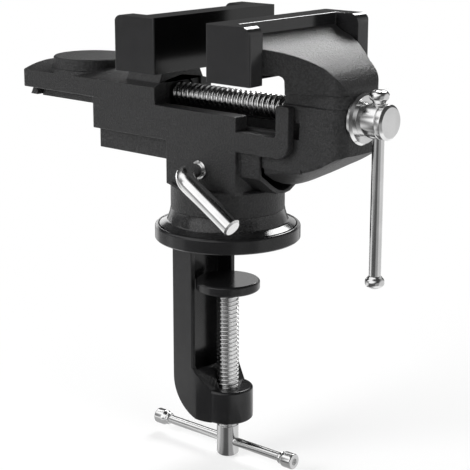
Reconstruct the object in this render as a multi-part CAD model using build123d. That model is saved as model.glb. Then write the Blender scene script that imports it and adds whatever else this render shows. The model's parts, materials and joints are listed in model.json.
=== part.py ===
"""Table-clamp vise on a swivel base, built as separate pieces.

Frame: the origin is on the swivel axis, in the plane of the table that the base sits on.
+Z is up, +X runs along the main screw towards the handle, and +Y is away from the lock lever.
All sizes are in millimetres.
"""
import os
from math import cos, radians, sin

from build123d import *

# ---------------------------------------------------------------- driving sizes
# clearances
running = 0.05            # between a turning piece and its seat
sliding = 0.3             # between the jaw slide and its channel
loose = 0.1               # between a screw and its plain bore

# jaws and their pads
jaw_width = 80.0          # width of the clamping faces
jaw_opening = 29.8        # gap between the clamping faces as shown
fixed_face_x = -6.4       # clamping face of the fixed jaw
pad_bottom_z = 78.1
pad_height = 24.3
pad_plate = 12.0          # thickness of a pad behind its clamping face
pad_wing = 8.1            # thickness of the wings that hold a pad on its jaw
pad_depth = 24.4          # clamping face to the rear end of the wings
pad_corner = 4.3          # rounding of a wing's upper rear corner
pad_edge = 0.9            # rounding of a pad's long edges
pad_lip = 4.9             # height of a pad above the jaw inside it
magnet_radius = 4.0
magnet_thick = 3.0
magnet_spread = 19.0      # magnets to either side of the middle

# vise body
body_half = 19.0          # half the width of the body
deck_rear_x = -117.5
deck_edge_z = 68.0        # top of the deck along its sides
deck_crown = 3.4          # rise of the deck at the middle
deck_skirt_z = 59.5       # underside of the deck
wall_rear_x = -68.4
wall_bottom_z = 44.9
slot_rear_x = -27.3       # rear end of the gap between the side walls
belly_half = 14.7
belly_bottom_z = 35.1
block_rear_x = -20.6
block_front_x = 21.5
neck_top_z = 26.0
sill_z = 60.3             # top of the side walls below the jaws
arm_top_z = 54.0
arm_end_x = 50.9
end_post_rear_x = 44.0
end_post_top_z = 67.8
arm_corner = 7.0
notch_corner = 1.8
cast_edge = 0.8
anvil_x = -88.5
anvil_radius = 18.6
anvil_top_z = 75.5
tower_rear_x = -50.0
tower_front_x = -28.4
tower_foot_half = 17.5    # the foot's fillet on the deck, then its slope up to the waist
tower_foot_z = 68.3
tower_slope_half = 14.5
tower_slope_z = 69.6
tower_waist_half = 11.8
tower_waist_z = 75.0
jaw_inner_half = jaw_width / 2 - pad_wing - sliding
jaw_rear_depth = 12.6     # thickness of the fixed jaw behind its pad plate
buttress_depth = 5.0      # top of the buttress behind the fixed jaw, and its drop below the jaw
buttress_drop = 9.0
cheek_rise = 6.0          # height over which the fixed jaw widens
neck_radius = 26.0
neck_flange_radius = 31.2  # the neck's flange lies inside the rim of the base
neck_flange_edge_z = 7.0
neck_flare_radius = 27.7
neck_flare_foot_z = 8.6
neck_flare_top_z = 15.0

# slide channel through the body
slide_half = 11.2
slide_bottom_z = 39.3
slide_top_z = 55.0
trough_floor = 4.0        # floor of the trough under the screw
slide_rear_x = -33.0
hull_half = 15.1
hull_top_z = 53.8
hull_rear_x = 17.0
hull_bend_z = 39.5        # where the hull's sides turn inwards
hull_low_rear_x = 33.9
sleeve_front_x = 33.2     # front end of the body's sleeve round the hull
sleeve_wall = 1.3
rail_inner_half = 8.5
rail_bottom_z = 54.7
rail_top_z = 59.2
rail_rear_x = -112.7
rail_overlap = 12.0       # length of the rails on the slide
end_plate_half = 14.7
end_plate_top = 2.8       # thickness of the end plate at its top and at its foot
end_plate_foot = 4.8
end_plate_foot_z = 55.4
end_screw_length = 6.0
closing_travel = 29.6

# moving jaw
leg_rear_x = 53.5
core_rear_x = 44.8        # rear face of the core that holds the screw's washers
core_sill_z = 60.7        # the core is narrow below this height, to pass between the walls
nose_x = 75.0
nose_half = 13.3
nose_corner = 6.5         # rounding of the nose's upright corners
nose_taper_x = 66.0
shoulder_z = 68.4         # top of the lower body
shoulder_half = 14.2      # half width of the recess above it
arch_drop = 4.1           # underside of the nose's arch below the pads
arch_flare_x = 44.0       # where the arch starts to narrow
arch_nose_half = 16.3
arm_rise = 3.9            # underside of the arm above the lower edge of the pads
window_corner = 2.5
nose_top_z = 75.6
arch_knee_x = 66.0        # points on the back of the arch, from the nose up to the jaw
arch_knee_z = 85.7
arch_crest_x = 52.5
arch_crest_z = 91.4
arch_saddle_x = 42.0
arch_saddle_z = 93.8
keel_rear_z = 29.3        # the keel under the hull, from its rear end to the nose
keel_middle_x = 50.0
keel_middle_z = 34.2
keel_front_x = 63.0
keel_front_z = 41.1
keel_nose_z = 48.4
bend_middle_z = 41.2      # where the hull's sides turn inwards, above the same places
bend_front_z = 43.8
bend_nose_z = 52.5

# main screw
screw_z = 63.5
thread_radius = 5.25
thread_pitch = 3.0
thread_depth = 1.1
screw_rear_x = -72.0
journal_radius = 5.0
collar_radius = 11.0
collar_thick = 2.2
head_radius = 7.5
head_end_x = 89.7
head_chamfer = 0.9
head_groove = 0.5         # depth of the groove before the head's end cap
cap_length = 3.6
nut_radius = 8.0
nut_length = 19.0
nut_pin_radius = 2.0
thrust_washer_radius = 7.8
thrust_washer_thick = 1.2
ring_radius = 7.2
ring_thick = 1.2
ring_groove_depth = 0.8
washer_room = 0.5         # between the thrust washer and the core's bore

# sliding handle
handle_x = 83.4
rod_radius = 2.6
knob_radius = 4.2
knob_height = 5.4
handle_bottom_z = -7.8

# clamp frame
dish_radius = 33.3
dish_height = 6.9
dish_floor = 4.5
dish_rim = 1.6
column_outer_x = -21.0
column_depth = 12.0
column_half = 15.0
column_rib = 2.6
column_web = 3.4
boss_radius = 11.9
boss_top_z = -72.1
boss_bottom_z = -87.9
bore_runout = 8.0         # end of the boss's bore above it
arm_floor_z = -67.0
frame_bend = 20.0

# swivel post and its friction washer
post_radius = 8.0
post_top_z = 38.7
post_spigot_radius = 6.0
post_spigot_length = 3.0
post_groove_depth = 1.0
post_groove_low_z = 31.0
post_groove_high_z = 37.4
post_screw_radius = 4.0
post_screw_head_radius = 7.6
post_screw_length = 18.0
washer_outer = 30.6
washer_thick = 1.5

# lock lever
lock_z = 34.2
lock_radius = 4.3
lock_neck_radius = 3.2
lock_neck_length = 4.3    # neck between the wall and the rod's shoulder
lock_reach = 12.7         # middle of the long leg beyond the wall
lock_leg_length = 36.8
lock_leg_angle = -31.5
lock_bend = 7.0
lock_chamfer = 0.8
lock_tip_radius = 2.9
lock_tip_length = 4.0
lock_ring_radius = 4.3
lock_ring_thick = 0.8

# clamp screw, pressure disc and cross bar
disc_radius = 14.9
disc_top_z = -20.3
disc_thick = 4.7
disc_socket_radius = 4.6
disc_socket_depth = 3.2
clamp_thread_radius = 5.2
clamp_pitch = 2.0
clamp_thread_depth = 0.8
clamp_thread_end_z = -91.0
clamp_head_radius = 5.2
clamp_head_bottom_z = -106.5
disc_ring_inner = 3.9
disc_ring_outer = 5.3
disc_ring_thick = 0.8
disc_ring_gap = 1.6       # opening of the sprung ring
bar_z = -99.5
bar_radius = 2.1
bar_left_x = -46.0
bar_right_x = 40.9
bar_knob_radius = 3.7
bar_knob_length = 8.5

# ---------------------------------------------------------------- derived sizes
moving_face_x = fixed_face_x + jaw_opening
pad_top_z = pad_bottom_z + pad_height
arch_bottom_z = pad_bottom_z - arch_drop
jaw_top_z = pad_top_z - pad_lip
body_foot_z = dish_floor + washer_thick + running
channel_half = slide_half + sliding
channel_floor_z = slide_bottom_z - sliding
hull_channel_half = hull_half + sliding
hull_channel_top_z = hull_top_z + sliding
disc_bottom_z = disc_top_z - disc_thick
lock_leg_y = -body_half - lock_reach
post_bore = post_radius + running
collar_x = nose_x + running


# ---------------------------------------------------------------- helpers
def block(x0, x1, y0, y1, z0, z1):
    """A box between two corners."""
    return Pos((x0 + x1) / 2, (y0 + y1) / 2, (z0 + z1) / 2) * Box(x1 - x0, y1 - y0, z1 - z0)


def slab(x0, x1, half, z0, z1):
    """A box centred on the plane of the main screw."""
    return block(x0, x1, -half, half, z0, z1)


def upright(radius, z0, z1, x=0.0, y=0.0):
    """A cylinder along Z."""
    return Pos(x, y, (z0 + z1) / 2) * Cylinder(radius, z1 - z0)


def along_x(radius, x0, x1, y=0.0, z=screw_z):
    """A cylinder along X."""
    return Pos((x0 + x1) / 2, y, z) * Rot(0, 90, 0) * Cylinder(radius, x1 - x0)


def along_y(radius, y0, y1, x=0.0, z=lock_z):
    """A cylinder along Y."""
    return Pos(x, (y0 + y1) / 2, z) * Rot(90, 0, 0) * Cylinder(radius, y1 - y0)


def side_plate(edges, half):
    """Extrude a closed outline in the XZ plane to both sides."""
    return extrude(make_face(edges), amount=half, dir=(0, 1, 0), both=True)


def side_points(points, half):
    """Extrude a polygon of (x, z) points to both sides."""
    outline = Polyline(*[(x, 0, z) for x, z in points], close=True)
    return side_plate(outline, half)


def plan_points(points, z0, z1):
    """Extrude the upper half of a plan outline, mirrored in Y, between two heights."""
    whole = list(points) + [(x, -y) for x, y in reversed(points)]
    outline = Polyline(*[(x, y, z0) for x, y in whole], close=True)
    return extrude(make_face(outline), amount=z1 - z0, dir=(0, 0, 1))


def turned(points):
    """Turn an outline of (radius, z) points about Z."""
    outline = Polyline(*[(r, 0, z) for r, z in points], close=True)
    return revolve(make_face(outline), Axis.Z)


def turned_about_screw(points):
    """Turn an outline of (radius, x) points about the main screw's axis."""
    outline = Polyline(*[(x, 0, screw_z + r) for r, x in points], close=True)
    return revolve(make_face(outline), Axis((0, 0, screw_z), (1, 0, 0)))


def thread_outline(radius, depth, pitch, start, end):
    """Crests and roots of a screw thread as (radius, position) points."""
    points = []
    count = int((end - start) / pitch)
    for turn in range(count):
        base = start + turn * pitch
        points += [
            (radius, base),
            (radius, base + 0.36 * pitch),
            (radius - depth, base + 0.52 * pitch),
            (radius - depth, base + 0.84 * pitch),
        ]
    points += [(radius, start + count * pitch), (radius, end)]
    return points


def hull_section(grow=0.0):
    """Half outline of the hull across the vise, as (y, z) points, from the bend to the keel."""
    rows = ((1.0, 0.0), (0.967, 0.29), (0.67, 0.56), (0.43, 0.78), (0.18, 0.95), (0.0, 1.0))
    deep = hull_bend_z - (neck_top_z + 1.3)
    return [(share * hull_half + grow * bool(share), hull_bend_z - drop * deep - grow * 1.3)
            for share, drop in rows]


def hull_bar(x0, x1, top_z, grow=0.0):
    """The keel-shaped section drawn out along X."""
    low = hull_section(grow)
    start = [(hull_half + grow, top_z)] + low
    whole = start + [(-y, z) for y, z in reversed(start[:-1])]
    outline = Polyline(*[(x0, y, z) for y, z in whole], close=True)
    return extrude(make_face(outline), amount=x1 - x0, dir=(1, 0, 0))


# ---------------------------------------------------------------- jaws
def jaw_pad(face_x, way):
    """A pad with its clamping face at face_x; way is +1 where the pad lies towards +X."""
    plate_end = face_x + way * pad_plate
    rear = face_x + way * pad_depth
    x0, x1 = sorted((face_x, rear))
    pad = slab(x0, x1, jaw_width / 2, pad_bottom_z, pad_top_z)
    pad = fillet(pad.edges().filter_by(Axis.Z), pad_edge)
    x0, x1 = sorted((plate_end, rear + way))
    pad -= slab(x0, x1, jaw_width / 2 - pad_wing, pad_bottom_z - 1, pad_top_z + 1)
    x0, x1 = sorted((face_x, rear))
    side = slab(x0, x1, jaw_width, pad_bottom_z, pad_top_z)
    corner = side.edges().filter_by(Axis.Y).sort_by_distance((rear, 0, pad_top_z))[0]
    pad &= fillet(corner, pad_corner)
    x0, x1 = sorted((plate_end, plate_end - way * magnet_thick))
    for end in (-1, 1):
        pad -= along_x(magnet_radius, x0, x1, end * magnet_spread, magnet_z())
    return pad


def magnet_z():
    return (pad_bottom_z + jaw_top_z) / 2 + 3.0


def pad_magnets(face_x, way):
    """The two magnets that hold a pad on its jaw."""
    plate_end = face_x + way * pad_plate
    x0, x1 = sorted((plate_end, plate_end - way * magnet_thick))
    left, right = [along_x(magnet_radius, x0, x1, side * magnet_spread, magnet_z()) for side in (-1, 1)]
    return Compound(children=[left, right])


# ---------------------------------------------------------------- vise body
def body_panel():
    """The deck, walls, block and arms as seen from the side."""
    outline = [
        (deck_rear_x, deck_skirt_z), (wall_rear_x, deck_skirt_z), (wall_rear_x, wall_bottom_z),
        (block_rear_x, wall_bottom_z), (block_rear_x, neck_top_z - 1), (block_front_x, neck_top_z - 1),
        (block_front_x, wall_bottom_z), (arm_end_x, wall_bottom_z), (arm_end_x, end_post_top_z),
        (end_post_rear_x, end_post_top_z), (end_post_rear_x, arm_top_z), (block_front_x, arm_top_z),
        (block_front_x, sill_z), (slot_rear_x, sill_z), (slot_rear_x, deck_edge_z),
        (deck_rear_x, deck_edge_z),
    ]
    panel = side_points(outline, body_half)
    across = panel.edges().filter_by(Axis.Y)
    low_corner = across.sort_by_distance((arm_end_x, 0, wall_bottom_z))[0]
    panel = fillet(low_corner, arm_corner)
    across = panel.edges().filter_by(Axis.Y)
    notch = across.sort_by_distance((end_post_rear_x, 0, arm_top_z))[0]
    panel = fillet(notch, notch_corner)
    across = panel.edges().filter_by(Axis.Y)
    rims = [across.sort_by_distance((x, 0, z))[0] for x, z in (
        (end_post_rear_x, end_post_top_z), (arm_end_x, end_post_top_z), (block_front_x, sill_z))]
    return fillet(rims, cast_edge)


def deck_top():
    """The crowned top of the deck: an arc over the width of the body."""
    left = (deck_rear_x, -body_half, deck_edge_z)
    right = (deck_rear_x, body_half, deck_edge_z)
    crest = (deck_rear_x, 0, deck_edge_z + deck_crown)
    face = make_face([ThreePointArc(left, crest, right), Line(right, left)])
    return extrude(face, amount=slot_rear_x - deck_rear_x, dir=(1, 0, 0))


def fixed_jaw():
    """The tower that carries the fixed jaw."""
    jaw_front = fixed_face_x - pad_plate
    jaw_rear = jaw_front - jaw_rear_depth
    foot = [(tower_foot_half, tower_foot_z), (tower_slope_half, tower_slope_z),
            (tower_waist_half, tower_waist_z), (tower_waist_half, pad_bottom_z)]
    whole = foot + [(-y, z) for y, z in reversed(foot)]
    outline = Polyline(*[(tower_rear_x, y, z) for y, z in whole], close=True)
    tower = extrude(make_face(outline), amount=tower_front_x - tower_rear_x, dir=(1, 0, 0))
    web = [
        (tower_rear_x, tower_foot_z), (tower_front_x, tower_foot_z), (tower_front_x, tower_waist_z + 1),
        (jaw_front, pad_bottom_z + 1), (jaw_front, jaw_top_z), (jaw_rear, jaw_top_z),
        (jaw_rear - buttress_depth, jaw_top_z - buttress_drop), (tower_rear_x, tower_waist_z),
    ]
    tower += side_points(web, tower_waist_half)
    head = [(tower_waist_half, pad_bottom_z - 1.5), (jaw_inner_half, pad_bottom_z + cheek_rise),
            (jaw_inner_half, jaw_top_z)]
    whole = head + [(-y, z) for y, z in reversed(head)]
    outline = Polyline(*[(jaw_rear, y, z) for y, z in whole], close=True)
    return tower + extrude(make_face(outline), amount=jaw_front - jaw_rear, dir=(1, 0, 0))


def body_neck():
    """The round neck that turns on the base."""
    return turned([
        (0, body_foot_z), (neck_flange_radius, body_foot_z), (neck_flange_radius, neck_flange_edge_z),
        (neck_flare_radius, neck_flare_foot_z), (neck_radius + 0.5, neck_flare_top_z - 2.6),
        (neck_radius, neck_flare_top_z),
        (neck_radius, neck_top_z - cast_edge), (neck_radius - cast_edge, neck_top_z), (0, neck_top_z),
    ])


def vise_body():
    anvil = upright(anvil_radius, deck_edge_z, anvil_top_z, anvil_x)
    anvil = chamfer(anvil.edges().group_by(Axis.Z)[-1], 0.5)
    foot = turned([
        (0, deck_edge_z), (anvil_radius + 1.4, deck_edge_z), (anvil_radius + 1.4, deck_edge_z + 0.6),
        (anvil_radius + 0.3, deck_edge_z + 2.2), (0, deck_edge_z + 2.2)])
    body = body_panel() + deck_top() + anvil + fixed_jaw() + body_neck()
    body += Pos(anvil_x, 0, 0) * foot & slab(deck_rear_x, slot_rear_x, body_half, 0, jaw_top_z)
    body += slab(wall_rear_x, block_rear_x, belly_half, belly_bottom_z, wall_bottom_z + 1)
    body += hull_bar(block_rear_x + 1, sleeve_front_x, wall_bottom_z + 1, sliding + sleeve_wall)
    # the channel for the slide, closed at the top under the deck and open between the jaws
    channel_rear = slide_rear_x - closing_travel - 2 * sliding
    body -= slab(channel_rear, tower_front_x, channel_half, channel_floor_z, deck_skirt_z)
    body -= slab(wall_rear_x - 1, channel_rear, channel_half, rail_bottom_z - sliding, deck_skirt_z)
    body -= slab(tower_front_x, arm_end_x + 1, channel_half, channel_floor_z, pad_bottom_z - 4)
    # the wider channel for the hull, under the inner ledges of the block
    hull_stop = hull_rear_x - closing_travel - sliding
    body -= slab(hull_stop, arm_end_x + 1, hull_channel_half, channel_floor_z, hull_channel_top_z)
    body -= slab(block_front_x, arm_end_x + 1, hull_channel_half, channel_floor_z, end_post_top_z + 1)
    # the pocket for the low end of the hull
    pocket_rear = hull_low_rear_x - closing_travel - sliding
    body -= hull_bar(pocket_rear, sleeve_front_x + 1, channel_floor_z + 1, sliding)
    # the bore for the post, the screw's way under the deck and the nut's seat
    body -= upright(post_bore, 0, channel_floor_z + 1)
    body -= along_x(thread_radius + sliding, screw_rear_x - closing_travel - 2, tower_front_x + 1)
    body -= along_x(nut_radius, tower_front_x - nut_length - 1, tower_front_x + 1)
    pin_z = screw_z + nut_radius
    body -= along_y(nut_pin_radius, -nut_radius / 2, body_half + 1, nut_middle_x(), pin_z)
    # the threaded hole of the lock lever
    body -= along_y(lock_neck_radius + loose, -body_half - 1, -post_radius + 1)
    return body


def nut_middle_x():
    return tower_front_x - 1 - nut_length / 2


def screw_nut():
    """The nut in the fixed jaw, with a flat seat for its cross pin."""
    nut = along_x(nut_radius, nut_middle_x() - nut_length / 2, nut_middle_x() + nut_length / 2)
    nut -= along_x(thread_radius + loose, nut_middle_x() - nut_length, nut_middle_x() + nut_length)
    return nut - along_y(nut_pin_radius, -nut_radius, nut_radius, nut_middle_x(), screw_z + nut_radius)


def nut_pin():
    """The cross pin over the nut, driven in from the side."""
    return along_y(nut_pin_radius, -nut_radius / 2, body_half / 2 + 4, nut_middle_x(), screw_z + nut_radius)


# ---------------------------------------------------------------- moving jaw
def nose_plan(half_rear, half_taper, x0, z0, z1, flare_x):
    """Plan of the jaw between two heights: straight, then narrowing to a nose with round corners."""
    side = [(x0, half_rear), (flare_x, half_rear), (nose_taper_x, half_taper), (nose_x, nose_half)]
    plan = plan_points(side, z0, z1)
    corners = plan.edges().filter_by(Axis.Z).group_by(Axis.X)[-1]
    return fillet(corners, nose_corner)


def arch():
    """The arm from the nose over to the jaw pad."""
    jaw_x = moving_face_x + pad_plate
    arm_under_z = pad_bottom_z + arm_rise
    under = [(jaw_x, arm_under_z), (leg_rear_x, arm_under_z), (leg_rear_x, arch_bottom_z),
             (nose_x, arch_bottom_z), (nose_x, nose_top_z)]
    back = [(nose_x, nose_top_z), (arch_knee_x, arch_knee_z), (arch_crest_x, arch_crest_z),
            (arch_saddle_x, arch_saddle_z), (jaw_x, jaw_top_z)]
    lower = Polyline(*[(x, 0, z) for x, z in under])
    upper = Spline(*[(x, 0, z) for x, z in back], tangents=((-0.3, 0, 1), (-1, 0, 0.8)))
    front = Line((jaw_x, 0, jaw_top_z), (jaw_x, 0, arm_under_z))
    solid = side_plate([lower, upper, front], jaw_inner_half)
    across = solid.edges().filter_by(Axis.Y)
    solid = fillet(across.sort_by_distance((leg_rear_x, 0, arm_under_z))[0], window_corner)
    plan = nose_plan(jaw_inner_half, arch_nose_half, jaw_x, arch_bottom_z - 1, jaw_top_z + 1, arch_flare_x)
    return solid & plan


def keel_section(x, bend_z, keel_z, top_z, fullness):
    """Section across the hull at x; fullness 0 is a sharp keel and 1 a flat bottom with round corners."""
    sharp = ((1.0, 0.0), (0.95, 0.3), (0.67, 0.56), (0.3, 0.88), (0.0, 1.0))
    full = ((1.0, 0.0), (0.95, 0.5), (0.78, 0.86), (0.4, 0.98), (0.0, 1.0))
    half = [(hull_half, top_z)]
    for (y0, d0), (y1, d1) in zip(sharp, full):
        share = y0 + (y1 - y0) * fullness
        drop = d0 + (d1 - d0) * fullness
        half.append((share * hull_half, bend_z - drop * (bend_z - keel_z)))
    whole = half + [(-y, z) for y, z in reversed(half[:-1])]
    return Polyline(*[(x, y, z) for y, z in whole], close=True)


def lower_body():
    """The part below the arch: the leg, the nose and the keel-shaped hull."""
    sections = [
        keel_section(hull_low_rear_x, hull_bend_z, keel_rear_z, hull_top_z, 0.0),
        keel_section(keel_middle_x, bend_middle_z, keel_middle_z, hull_top_z, 0.3),
        keel_section(keel_front_x, bend_front_z, keel_front_z, hull_top_z, 0.7),
        keel_section(nose_x, bend_nose_z, keel_nose_z, hull_top_z, 1.0),
    ]
    hull = loft([make_face(section) for section in sections])
    hull += slab(leg_rear_x, nose_x, hull_half, hull_top_z - 0.5, shoulder_z)
    return hull & nose_plan(hull_half, hull_half, hull_low_rear_x, neck_top_z, shoulder_z, nose_taper_x - 1)


def core():
    """The hollow block in front of the leg, around the screw's washers."""
    narrow = slab(core_rear_x, leg_rear_x + 1, slide_half, hull_top_z - 1, core_sill_z + 1)
    wide = slab(core_rear_x, leg_rear_x + 1, hull_half, core_sill_z, shoulder_z)
    neck = slab(core_rear_x, leg_rear_x + 1, shoulder_half, core_sill_z, arch_bottom_z)
    return narrow + wide + neck


def moving_jaw():
    jaw = arch() + lower_body()
    jaw += nose_plan(shoulder_half, shoulder_half, leg_rear_x, core_sill_z, arch_bottom_z + 1,
                     nose_taper_x - 1)
    jaw += slab(slide_rear_x, leg_rear_x + 1, slide_half, slide_bottom_z, slide_top_z)
    jaw += slab(rail_rear_x, slide_rear_x + rail_overlap, slide_half, rail_bottom_z, rail_top_z)
    jaw += slab(hull_rear_x, leg_rear_x + 1, hull_half, slide_bottom_z, hull_top_z)
    # the trough under the screw and the way for the nut between the rails
    jaw -= slab(slide_rear_x + rail_overlap / 2, core_rear_x, rail_inner_half, slide_bottom_z + trough_floor,
                rail_top_z)
    jaw -= slab(rail_rear_x - 1, core_rear_x, rail_inner_half, nut_floor_z(), rail_top_z + 1)
    jaw += core()
    jaw -= along_x(thrust_washer_radius + washer_room, core_rear_x - 1, leg_rear_x)
    # the way round the post when the jaws are closed
    jaw -= upright(post_radius + 2 * sliding, neck_top_z, slide_bottom_z, closing_travel)
    # the bore for the screw's journal
    jaw -= along_x(journal_radius + loose, leg_rear_x - 1, nose_x + 1)
    # threaded holes for the end plate
    for side in (-1, 1):
        jaw -= along_x(end_screw_radius(), rail_rear_x - 1, rail_rear_x + end_screw_length,
                       side * rail_middle(), rail_mid_z())
    return jaw


def nut_floor_z():
    return screw_z - nut_radius - sliding


def rail_middle():
    return (rail_inner_half + slide_half) / 2


def rail_mid_z():
    return (rail_bottom_z + rail_top_z) / 2


def end_screw_radius():
    return (slide_half - rail_inner_half) / 3


def end_plate_rear_x():
    """The plate's rear face at the height of its screws."""
    share = (rail_mid_z() - end_plate_foot_z) / (rail_top_z - end_plate_foot_z)
    return rail_rear_x - end_plate_foot + share * (end_plate_foot - end_plate_top)


def slide_end_plate():
    """The plate that joins the two rails at the rear; its rear face slopes out to its foot."""
    plate = side_points([
        (rail_rear_x, rail_top_z), (rail_rear_x - end_plate_top, rail_top_z),
        (rail_rear_x - end_plate_foot, end_plate_foot_z), (rail_rear_x, end_plate_foot_z)], end_plate_half)
    for side in (-1, 1):
        plate -= along_x(end_screw_radius(), rail_rear_x - end_plate_foot - 1, rail_rear_x + 1,
                         side * rail_middle(), rail_mid_z())
        plate -= along_x(end_head_radius(), rail_rear_x - end_plate_foot - 1, end_head_seat_x(),
                         side * rail_middle(), rail_mid_z())
    return plate


def end_head_radius():
    return 2 * end_screw_radius()


def end_head_seat_x():
    return rail_rear_x - end_plate_top / 2


def slide_end_screws():
    """The two sunk screws that hold the plate on the rails."""
    screws = []
    for side in (-1, 1):
        shank = along_x(end_screw_radius(), end_head_seat_x(), rail_rear_x + end_screw_length,
                        side * rail_middle(), rail_mid_z())
        head = along_x(end_head_radius(), end_plate_rear_x(), end_head_seat_x(), side * rail_middle(),
                       rail_mid_z())
        screws.append(shank + head)
    return Compound(children=screws)


# ---------------------------------------------------------------- main screw
def main_screw():
    ring_x = leg_rear_x - thrust_washer_thick - running
    thread_end = ring_x - ring_thick - 2.0
    outline = [(0, screw_rear_x), (thread_radius - thread_depth, screw_rear_x)]
    outline += thread_outline(thread_radius, thread_depth, thread_pitch, screw_rear_x + 1.2, thread_end)
    groove = journal_radius - ring_groove_depth
    outline += [(journal_radius, thread_end), (journal_radius, ring_x - ring_thick),
                (groove, ring_x - ring_thick), (groove, ring_x), (journal_radius, ring_x),
                (journal_radius, collar_x + collar_thick)]
    cap_x = head_end_x - cap_length
    outline += [(head_radius, collar_x + collar_thick), (head_radius, cap_x - 0.4),
                (head_radius - head_groove, cap_x), (head_radius, cap_x + 0.4),
                (head_radius, head_end_x - head_chamfer), (head_radius - head_chamfer, head_end_x),
                (0, head_end_x)]
    screw = turned_about_screw(outline)
    return screw - upright(rod_radius + loose, screw_z - head_radius - 1, screw_z + head_radius + 1, handle_x)


def screw_collar():
    """The bright washer between the nose and the screw's head."""
    inner = journal_radius + running
    return turned_about_screw([
        (inner, collar_x), (collar_radius, collar_x), (collar_radius, collar_x + 0.5 * collar_thick),
        (collar_radius - 0.9, collar_x + collar_thick), (inner, collar_x + collar_thick)])


def thrust_washer():
    inner = journal_radius + loose
    x1 = leg_rear_x
    return turned_about_screw([
        (inner, x1 - thrust_washer_thick), (thrust_washer_radius, x1 - thrust_washer_thick),
        (thrust_washer_radius, x1), (inner, x1)])


def retaining_ring():
    """The open ring in the screw's groove."""
    x1 = leg_rear_x - thrust_washer_thick - running
    inner = journal_radius - ring_groove_depth
    ring = turned_about_screw([(inner, x1 - ring_thick), (ring_radius, x1 - ring_thick), (ring_radius, x1),
                               (inner, x1)])
    return ring - block(x1 - ring_thick - 1, x1 + 1, -1.6, 1.6, screw_z, screw_z + ring_radius + 1)


# ---------------------------------------------------------------- sliding handle
def knob_outline(base_z, way):
    """A turned knob as (radius, z) points, from its seat at base_z outwards."""
    rows = ((0.66, 0.0), (0.74, 0.12), (1.0, 0.38), (1.0, 0.72), (0.86, 0.9), (0.6, 1.0))
    points = [(share * knob_radius, base_z + way * rise * knob_height) for share, rise in rows]
    inner = rod_radius - 0.6
    return [(inner, base_z)] + points + [(inner, base_z + way * knob_height)]


def handle_top_seat():
    return screw_z + head_radius + running


def handle_rod():
    rod = upright(rod_radius, handle_bottom_z + knob_height, handle_top_seat(), handle_x)
    stub = upright(rod_radius - 0.6, handle_bottom_z, handle_top_seat() + knob_height, handle_x)
    return rod + stub


def handle_knob_top():
    return Pos(handle_x, 0, 0) * turned(knob_outline(handle_top_seat(), 1))


def handle_knob_bottom():
    return Pos(handle_x, 0, 0) * turned(knob_outline(handle_bottom_z + knob_height, -1))


# ---------------------------------------------------------------- clamp frame and base
def frame_outline():
    """The C-shaped web as seen from the side."""
    top = dish_floor / 2
    inner_x = column_outer_x + column_depth
    low_z = boss_bottom_z
    outer = Polyline((column_outer_x, 0, top), (column_outer_x, 0, low_z + frame_bend))
    start = (column_outer_x, 0, low_z + frame_bend)
    end = (column_outer_x + frame_bend, 0, low_z)
    middle = (column_outer_x + frame_bend * (1 - cos(radians(45))), 0,
              low_z + frame_bend * (1 - sin(radians(45))))
    bend = ThreePointArc(start, middle, end)
    inner = Polyline(end, (0, 0, low_z), (0, 0, boss_top_z), (inner_x + 4.5, 0, arm_floor_z),
                     (inner_x, 0, arm_floor_z + 5.0), (inner_x, 0, top), (column_outer_x, 0, top))
    return [outer, bend, inner]


def frame_recess():
    """The hollow between the two ribs of the column and its lower arm."""
    inner_x = column_outer_x + column_depth
    web_x = column_outer_x + column_web
    rib_inner = column_half - column_rib
    return slab(web_x, inner_x + 1, rib_inner, arm_floor_z - 1.5, -3.0)


def dish():
    """The round base with a recess for the friction washer."""
    return turned([
        (0, 0), (dish_radius - 0.6, 0), (dish_radius, 0.6), (dish_radius, dish_height - 0.8),
        (dish_radius - 0.8, dish_height), (dish_radius - dish_rim, dish_height),
        (dish_radius - dish_rim, dish_floor), (0, dish_floor)])


def clamp_frame():
    web = side_plate(frame_outline(), column_half)
    plan = plan_points([(column_outer_x, column_half), (column_outer_x + column_depth + 2, column_half),
                        (0, boss_radius), (boss_radius, boss_radius)], boss_bottom_z - 1, dish_floor)
    frame = (web & plan) - frame_recess()
    boss = chamfer(upright(boss_radius, boss_bottom_z, boss_top_z).edges().filter_by(GeomType.CIRCLE), 0.8)
    frame += boss
    frame += dish()
    frame -= upright(clamp_thread_radius + loose, boss_bottom_z - 1, boss_top_z + bore_runout)
    frame -= upright(post_spigot_radius, dish_floor - post_spigot_length, dish_floor + 1)
    return frame - post_screw_space()


def post_screw_space():
    """Room for the sunk screw that holds the post."""
    cone_top = post_screw_head_radius - post_screw_radius
    return turned([(0, -1), (post_screw_head_radius, -1), (post_screw_head_radius, 0),
                   (post_screw_radius, cone_top), (post_screw_radius, dish_floor + 1), (0, dish_floor + 1)])


def post_screw():
    cone_top = post_screw_head_radius - post_screw_radius
    return turned([(0, 0), (post_screw_head_radius, 0), (post_screw_radius, cone_top),
                   (post_screw_radius, post_screw_length), (0, post_screw_length)])


def swivel_post():
    groove = post_radius - post_groove_depth
    low = dish_floor - post_spigot_length
    post = turned([
        (0, low), (post_spigot_radius, low), (post_spigot_radius, dish_floor), (post_radius, dish_floor),
        (post_radius, post_groove_low_z), (groove, post_groove_low_z), (groove, post_groove_high_z),
        (post_radius, post_groove_high_z), (post_radius, post_top_z), (0, post_top_z)])
    return post - post_screw()


def friction_washer():
    top_z = dish_floor + washer_thick
    return turned([(post_radius + sliding, dish_floor), (washer_outer, dish_floor), (washer_outer, top_z),
                   (post_radius + sliding, top_z)])


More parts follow.
